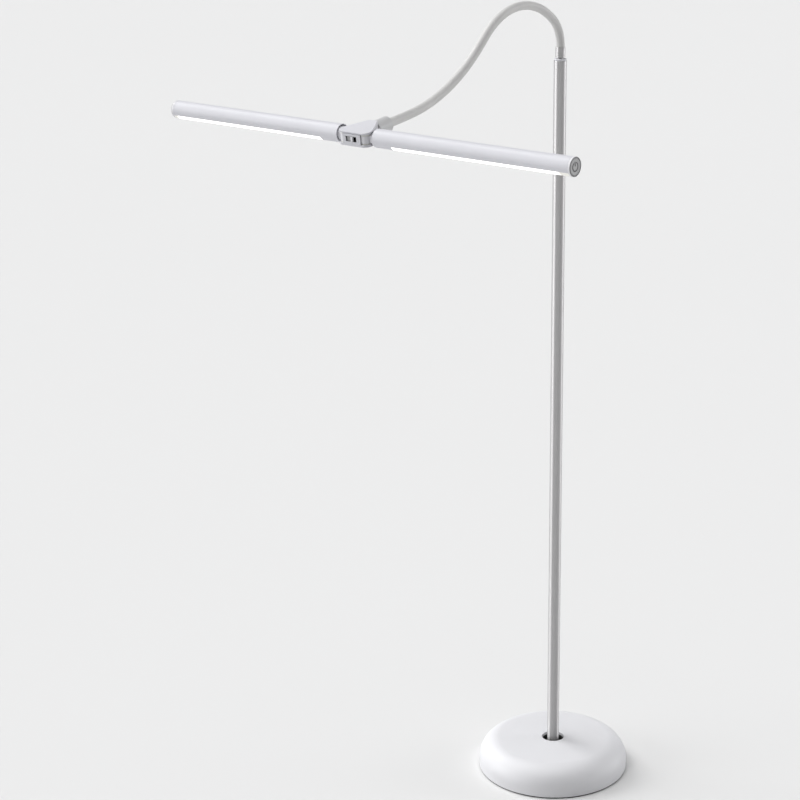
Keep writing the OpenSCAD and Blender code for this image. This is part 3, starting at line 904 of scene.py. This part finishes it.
def power_mark():
    """A ring open at the top with a bar in its gap, both with round ends."""
    bm = bmesh.new()
    z0, z1 = face - 0.3, face - 0.02
    middle, half, gap, ring_steps = 5.5, 0.8, 33, 48
    bar_low, bar_high, bar_steps = 1.3, 5.8, 5

    def stroke(points):
        left, right = [], []
        count = len(points)
        for i, p in enumerate(points):
            d = (Vector(points[min(i + 1, count - 1)]) - Vector(points[max(i - 1, 0)])).normalized()
            n = Vector((-d.y, d.x))
            left.append(Vector(p) + n * half)
            right.append(Vector(p) - n * half)
        first_d = (Vector(points[0]) - Vector(points[1])).normalized()
        last_d = (Vector(points[-1]) - Vector(points[-2])).normalized()
        tip_a, tip_b = [], []
        for k in range(1, 8):
            a = math.pi * k / 8
            n = Vector((-last_d.y, last_d.x))
            tip_b.append(Vector(points[-1]) + (n * math.cos(a) + last_d * math.sin(a)) * half)
            n = Vector((-first_d.y, first_d.x))
            tip_a.append(Vector(points[0]) + (n * math.cos(a) + first_d * math.sin(a)) * half)
        loop = left + tip_b + right[::-1] + tip_a
        top = [bm.verts.new((z1 * MM, p.x * MM, p.y * MM)) for p in loop]
        low = [bm.verts.new((z0 * MM, p.x * MM, p.y * MM)) for p in loop]
        bm.faces.new(top)
        bm.faces.new(low[::-1])
        for i in range(len(loop)):
            n = (i + 1) % len(loop)
            bm.faces.new([top[i], low[i], low[n], top[n]])

    ring = []
    for k in range(ring_steps + 1):
        a = math.radians(90 + gap + (360 - 2 * gap) * k / ring_steps)
        ring.append((middle * math.cos(a), middle * math.sin(a)))
    stroke(ring)
    bar = [bar_low + (bar_high - bar_low) * k / bar_steps for k in range(bar_steps + 1)]
    stroke([(0, height) for height in bar])
    for v in bm.verts:
        v.co = light_matrix("right") @ v.co
    finish_mesh("power_mark", bm, "symbol_print", "button", ("power_symbol",), "symbol_grey")


power_mark()

# ---- CAD nodes that stay, with better materials ----

STAY = {
    "zinc": [
        "base_plate", "plate_screws", "foot_flange", "pole_rod", "rod_washer", "rod_nut",
        "ferrule_clip", "socket_clip", "hub_screws", "spigot_clips_left", "spigot_clips_right",
    ],
    "cast_iron": ["base_weight"],
    "steel": ["fold_pins"],
    "washer_nylon": ["fold_washers"],
    "raw_aluminium": ["web_left", "web_right"],
    "board": ["led_board_left", "led_board_right"],
    "phosphor": ["leds_left", "leds_right"],
    "green_board": ["button_board"],
    "black_plastic": ["button_switch"],
}
for mat, names in STAY.items():
    for name in names:
        paint(nodes[name], mat)

# ---- Floor, light and camera ----

# The camera's place, aim and lens were solved from the perspective in the photograph
forward = Vector((-0.57082238, 0.76036547, -0.30984863))
up = Vector((-0.18457481, 0.24888004, 0.95078434))
right = forward.cross(up).normalized()
up = right.cross(forward).normalized()
camera_place = Vector((1.72982939, -2.51311633, 1.62127246))
away = Vector((forward.x, forward.y, 0)).normalized()
aside = Vector((right.x, right.y, 0)).normalized()


def soft_sun(name, to_right, to_back, height, strength, angle):
    """A wide, even light that comes from that direction, as the camera sees it."""
    data = bpy.data.lights.new(name, "SUN")
    data.energy = strength
    data.angle = math.radians(angle)
    obj = bpy.data.objects.new(name, data)
    bpy.context.scene.collection.objects.link(obj)
    source = aside * to_right + away * to_back + Vector((0, 0, height))
    obj.location = source * 3
    obj.rotation_mode = "QUATERNION"
    obj.rotation_quaternion = (-source).to_track_quat("-Z", "Y")


soft_sun("key_left", -0.9, 0.6, 0.95, 1.6, 34)
soft_sun("side_left", -1.0, -0.06, 0.14, 2.0, 46)
soft_sun("rim_right", 1.0, 0.2, 0.16, 1.2, 36)
soft_sun("top_light", -0.15, -0.1, 1.0, 2.0, 60)

MATS["floor"] = material(
    "floor", (0.668, 0.668, 0.668), 0.9, vary=0.003, vary_scale=0.5, grain=60, bump=0.01,
    specular=0.0,
)
floor_bm = bmesh.new()
bmesh.ops.create_grid(floor_bm, x_segments=24, y_segments=24, size=40.0)
finish_mesh("floor", floor_bm, "floor")

world = bpy.data.worlds.new("studio")
bpy.context.scene.world = world
world.use_nodes = True
sky = world.node_tree
background = sky.nodes["Background"]
where = sky.nodes.new("ShaderNodeTexCoord")
split = sky.nodes.new("ShaderNodeSeparateXYZ")
sky.links.new(where.outputs["Generated"], split.inputs["Vector"])
# Bright near the horizon and dim above, and dim on the side that the photograph was taken from
by_height = ramp(sky, split.outputs["Z"], 0.8, 0.12, 0.12, 0.4, "SMOOTHSTEP")
ahead = new_node(sky, "ShaderNodeVectorMath", operation="DOT_PRODUCT")
sky.links.new(where.outputs["Generated"], ahead.inputs[0])
ahead.inputs[1].default_value = -away
by_side = ramp(sky, ahead.outputs["Value"], 1.0, 0.22, 0.15, 0.8, "SMOOTHSTEP")
strength = new_node(sky, "ShaderNodeMath", operation="MULTIPLY")
sky.links.new(by_height, strength.inputs[0])
sky.links.new(by_side, strength.inputs[1])
sky.links.new(strength.outputs["Value"], background.inputs["Strength"])
background.inputs["Color"].default_value = (0.97, 0.98, 1.0, 1)

camera_data = bpy.data.cameras.new("camera")
camera_data.lens = 93.093
camera_data.sensor_width = 36.0
camera_data.shift_x = -0.0946
camera_data.clip_start, camera_data.clip_end = 0.05, 200.0
camera = bpy.data.objects.new("camera", camera_data)
bpy.context.scene.collection.objects.link(camera)
turn = Matrix((right, up, -forward)).transposed()
camera.matrix_world = Matrix.Translation(camera_place) @ turn.to_4x4()
bpy.context.scene.camera = camera
bpy.context.scene.view_settings.view_transform = "Standard"
